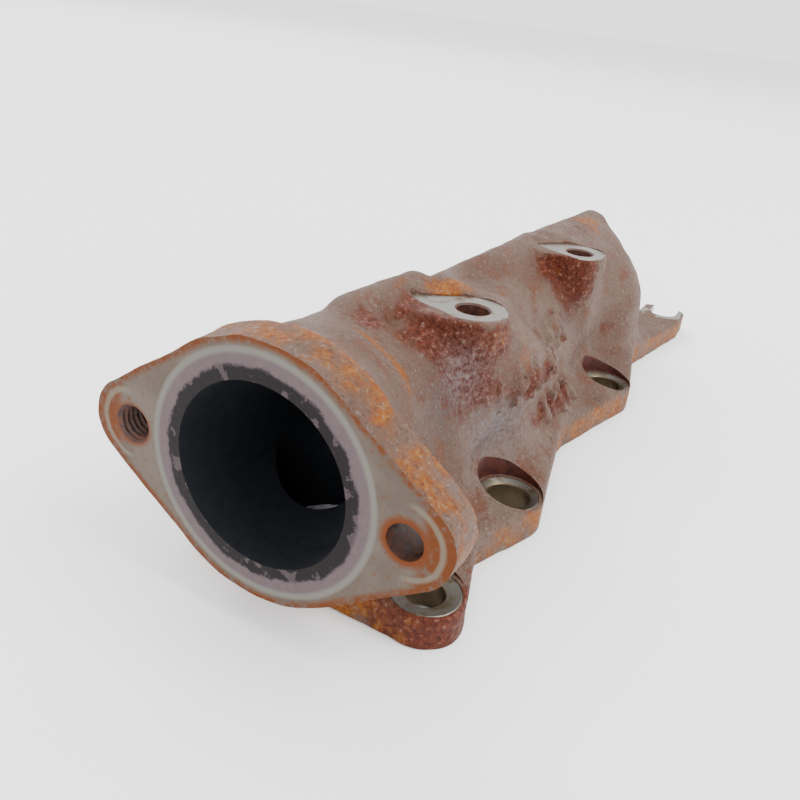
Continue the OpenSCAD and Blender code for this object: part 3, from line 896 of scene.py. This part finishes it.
def paint_casting(casting):
    """Writes the rust zones, with their painted shade and painted highlight, to the mesh, and gives every cut
    face its own material.
    """
    mesh = casting.data
    points = np.empty(len(mesh.vertices) * 3, np.float32)
    normals = np.empty_like(points)
    mesh.vertices.foreach_get("co", points)
    mesh.vertices.foreach_get("normal", normals)
    zones = rust_and_painted_light_zones(points.reshape(-1, 3) / MM, normals.reshape(-1, 3))
    attribute = mesh.attributes.new("rust", "FLOAT_COLOR", "POINT")
    attribute.data.foreach_set("color", zones.astype(np.float32).ravel())

    centres = np.empty(len(mesh.polygons) * 3, np.float32)
    facing = np.empty_like(centres)
    mesh.polygons.foreach_get("center", centres)
    mesh.polygons.foreach_get("normal", facing)
    c, n = centres.reshape(-1, 3) / MM, facing.reshape(-1, 3)

    def near(centre, radius, axis=2):
        """Which faces lie within radius of a line through centre along axis."""
        across = [k for k in range(3) if k != axis]
        return np.hypot(*(c[:, k] - centre[k] for k in across)) < radius

    face = np.full(len(c), IRON, np.int32)
    inside = near(OUTLET, OUTLET_BORE + 0.1, 0) & (c[:, 0] < -13)
    inside |= near((0, *PASSAGE), PASSAGE_R + 0.1, 0) & (c[:, 0] < 190)
    for port in PORTS:
        inside |= near((port, PORT_Y), PORT_R + 0.1) & (c[:, 2] < 28.2) & (c[:, 2] > 0)
    cone_r = np.interp(c[:, 0], (CONE_X, CONE_X + CONE_LENGTH), CONE)
    cone_y = np.interp(c[:, 0], (CONE_X, CONE_X + CONE_LENGTH), (OUTLET[1], PASSAGE[0]))
    cone_z = np.interp(c[:, 0], (CONE_X, CONE_X + CONE_LENGTH), (OUTLET[2], PASSAGE[1]))
    cone = np.hypot(c[:, 1] - cone_y, c[:, 2] - cone_z) < cone_r + 0.2
    inside |= cone & (c[:, 0] > CONE_X - 0.1) & (c[:, 0] < CONE_X + CONE_LENGTH + 0.1)
    face[inside] = SOOT
    face[(c[:, 2] < 0.01) & (n[:, 2] < -0.99)] = HEAD_FACE
    for pad, tip in zip(PADS, PAD_TIPS):
        milled = bar(*c.T, pad, tip, PAD_R + 0.2, PAD_TIP_R + 0.2) < 0
        face[milled & (np.abs(c[:, 2] - PAD_Z) < 0.12) & (n[:, 2] > 0.99)] = MILLED
        face[near(pad, PAD_BORE + 0.4) & (c[:, 2] < PAD_Z - 0.05)] = HOLE_RUST
    spots = [(seat, SPOT_R) for seat in SEATS] + [(hole, BACK_SPOT_R) for hole in BACK_HOLES]
    for seat, radius in spots:
        wall = near(seat, radius + 0.1) & ~near(seat, radius - 0.3) & (np.abs(n[:, 2]) < 0.1)
        face[wall & (c[:, 2] > SEAT_Z) & (c[:, 2] < SPOT_TOP)] = WALL_RUST
    for hole in TAPPED:
        face[near(hole, 5.2, 0) & (c[:, 0] > OUTLET[0] + 0.01) & (c[:, 0] < -12)] = HOLE_RUST
    for hole in BACK_HOLES:
        face[near(hole, BACK_BORE + 0.1) & (c[:, 2] < SEAT_Z)] = HOLE_RUST
    face[(c[:, 0] > 228) & (np.abs(n[:, 2]) < 0.3) & (np.abs(c[:, 1]) < SLOT_R + 0.1)] = MILLED
    face[(c[:, 0] > 230) & (np.abs(c[:, 2] - SEAT_Z) < 0.02) & (n[:, 2] > 0.99)] = MILLED
    face[(c[:, 0] < OUTLET[0] + 0.01) & (n[:, 0] < -0.99)] = OUTLET_FACE
    mesh.materials.clear()
    for material in (
        rusty_iron(), outlet_face(), soot(), milled_iron(), head_face(),
        hole_rust("bolt_hole_rust", srgb(74, 38, 30), srgb(132, 82, 62)),
        hole_rust("spot_wall_rust", srgb(84, 40, 34), srgb(122, 64, 54)),
    ):
        mesh.materials.append(material)
    mesh.polygons.foreach_set("material_index", face)


# ------------------------------------------------------------------ studio
CAMERA_PLACE = (-125.12, -48.11, 118.82)  # in millimetres
CAMERA_TURN = (63.401, -6.799, -60.941)  # about X, then Y, then Z, in degrees
CAMERA_LENS = 35.38  # focal length for a 36 mm wide picture


def camera():
    """The camera at the photograph's viewing angle."""
    data = bpy.data.cameras.new("camera")
    data.sensor_width = 36.0
    data.lens = CAMERA_LENS
    data.clip_start, data.clip_end = 0.01, 30
    obj = bpy.data.objects.new("camera", data)
    bpy.context.scene.collection.objects.link(obj)
    bpy.context.scene.camera = obj
    obj.location = tuple(v * MM for v in CAMERA_PLACE)
    obj.rotation_euler = tuple(math.radians(v) for v in CAMERA_TURN)


def area_light(name, spot, aim, size, power):
    """A soft square light that points at aim."""
    data = bpy.data.lights.new(name, "AREA")
    data.size = size
    data.energy = power
    obj = bpy.data.objects.new(name, data)
    obj.location = spot
    obj.rotation_euler = (Vector(aim) - Vector(spot)).to_track_quat("-Z", "Y").to_euler()
    bpy.context.scene.collection.objects.link(obj)


HALF = 60000.0  # half the floor's width, in millimetres
FLOOR_Z = -0.3  # just below the head face, so that the two don't flicker
LIGHT = 2.1  # strength of the surroundings


def studio():
    """A pale floor, pale surroundings and three soft lights."""
    corners = [(x * HALF, y * HALF, FLOOR_Z) for x, y in ((-1, -1), (1, -1), (1, 1), (-1, 1))]
    floor = make_object("floor", corners, [(0, 1, 2, 3)])
    material, _, shader, _ = new_material("floor_paint", 0.9, 0.0, 0.1)
    shader.inputs["Base Color"].default_value = (0.92, 0.92, 0.92, 1)
    floor.data.materials.append(material)
    world = bpy.data.worlds.new("studio")
    bpy.context.scene.world = world
    world.use_nodes = True
    background = world.node_tree.nodes["Background"]
    background.inputs[0].default_value = (1, 1, 1, 1)
    background.inputs[1].default_value = LIGHT
    middle = (0.11, 0.03, 0.03)
    area_light("key", (0.3, -2.2, 2.6), middle, 1.8, 110)
    area_light("fill", (-2.4, -0.3, 1.4), middle, 1.6, 30)
    area_light("rim", (1.0, 2.2, 2.2), middle, 1.6, 50)


# ---------------------------------------------------------------- assembly
camera()
studio()
casting = build_casting()
casting.data.shade_smooth()
casting.data.set_sharp_from_angle(angle=math.radians(38))
paint_casting(casting)
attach(casting, "root")
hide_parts("manifold_casting")
for i in range(3):
    sleeve = build_sleeve(i + 1, SEATS[i], SEAT_BORES[i])
    sleeve.data.shade_smooth()
    sleeve.data.set_sharp_from_angle(angle=math.radians(30))
    sleeve.data.materials.append(seat_steel(i + 1, SEATS[i], SEAT_BORES[i]))
    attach(sleeve, "root")
    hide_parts(f"seat_sleeve_{i + 1}")
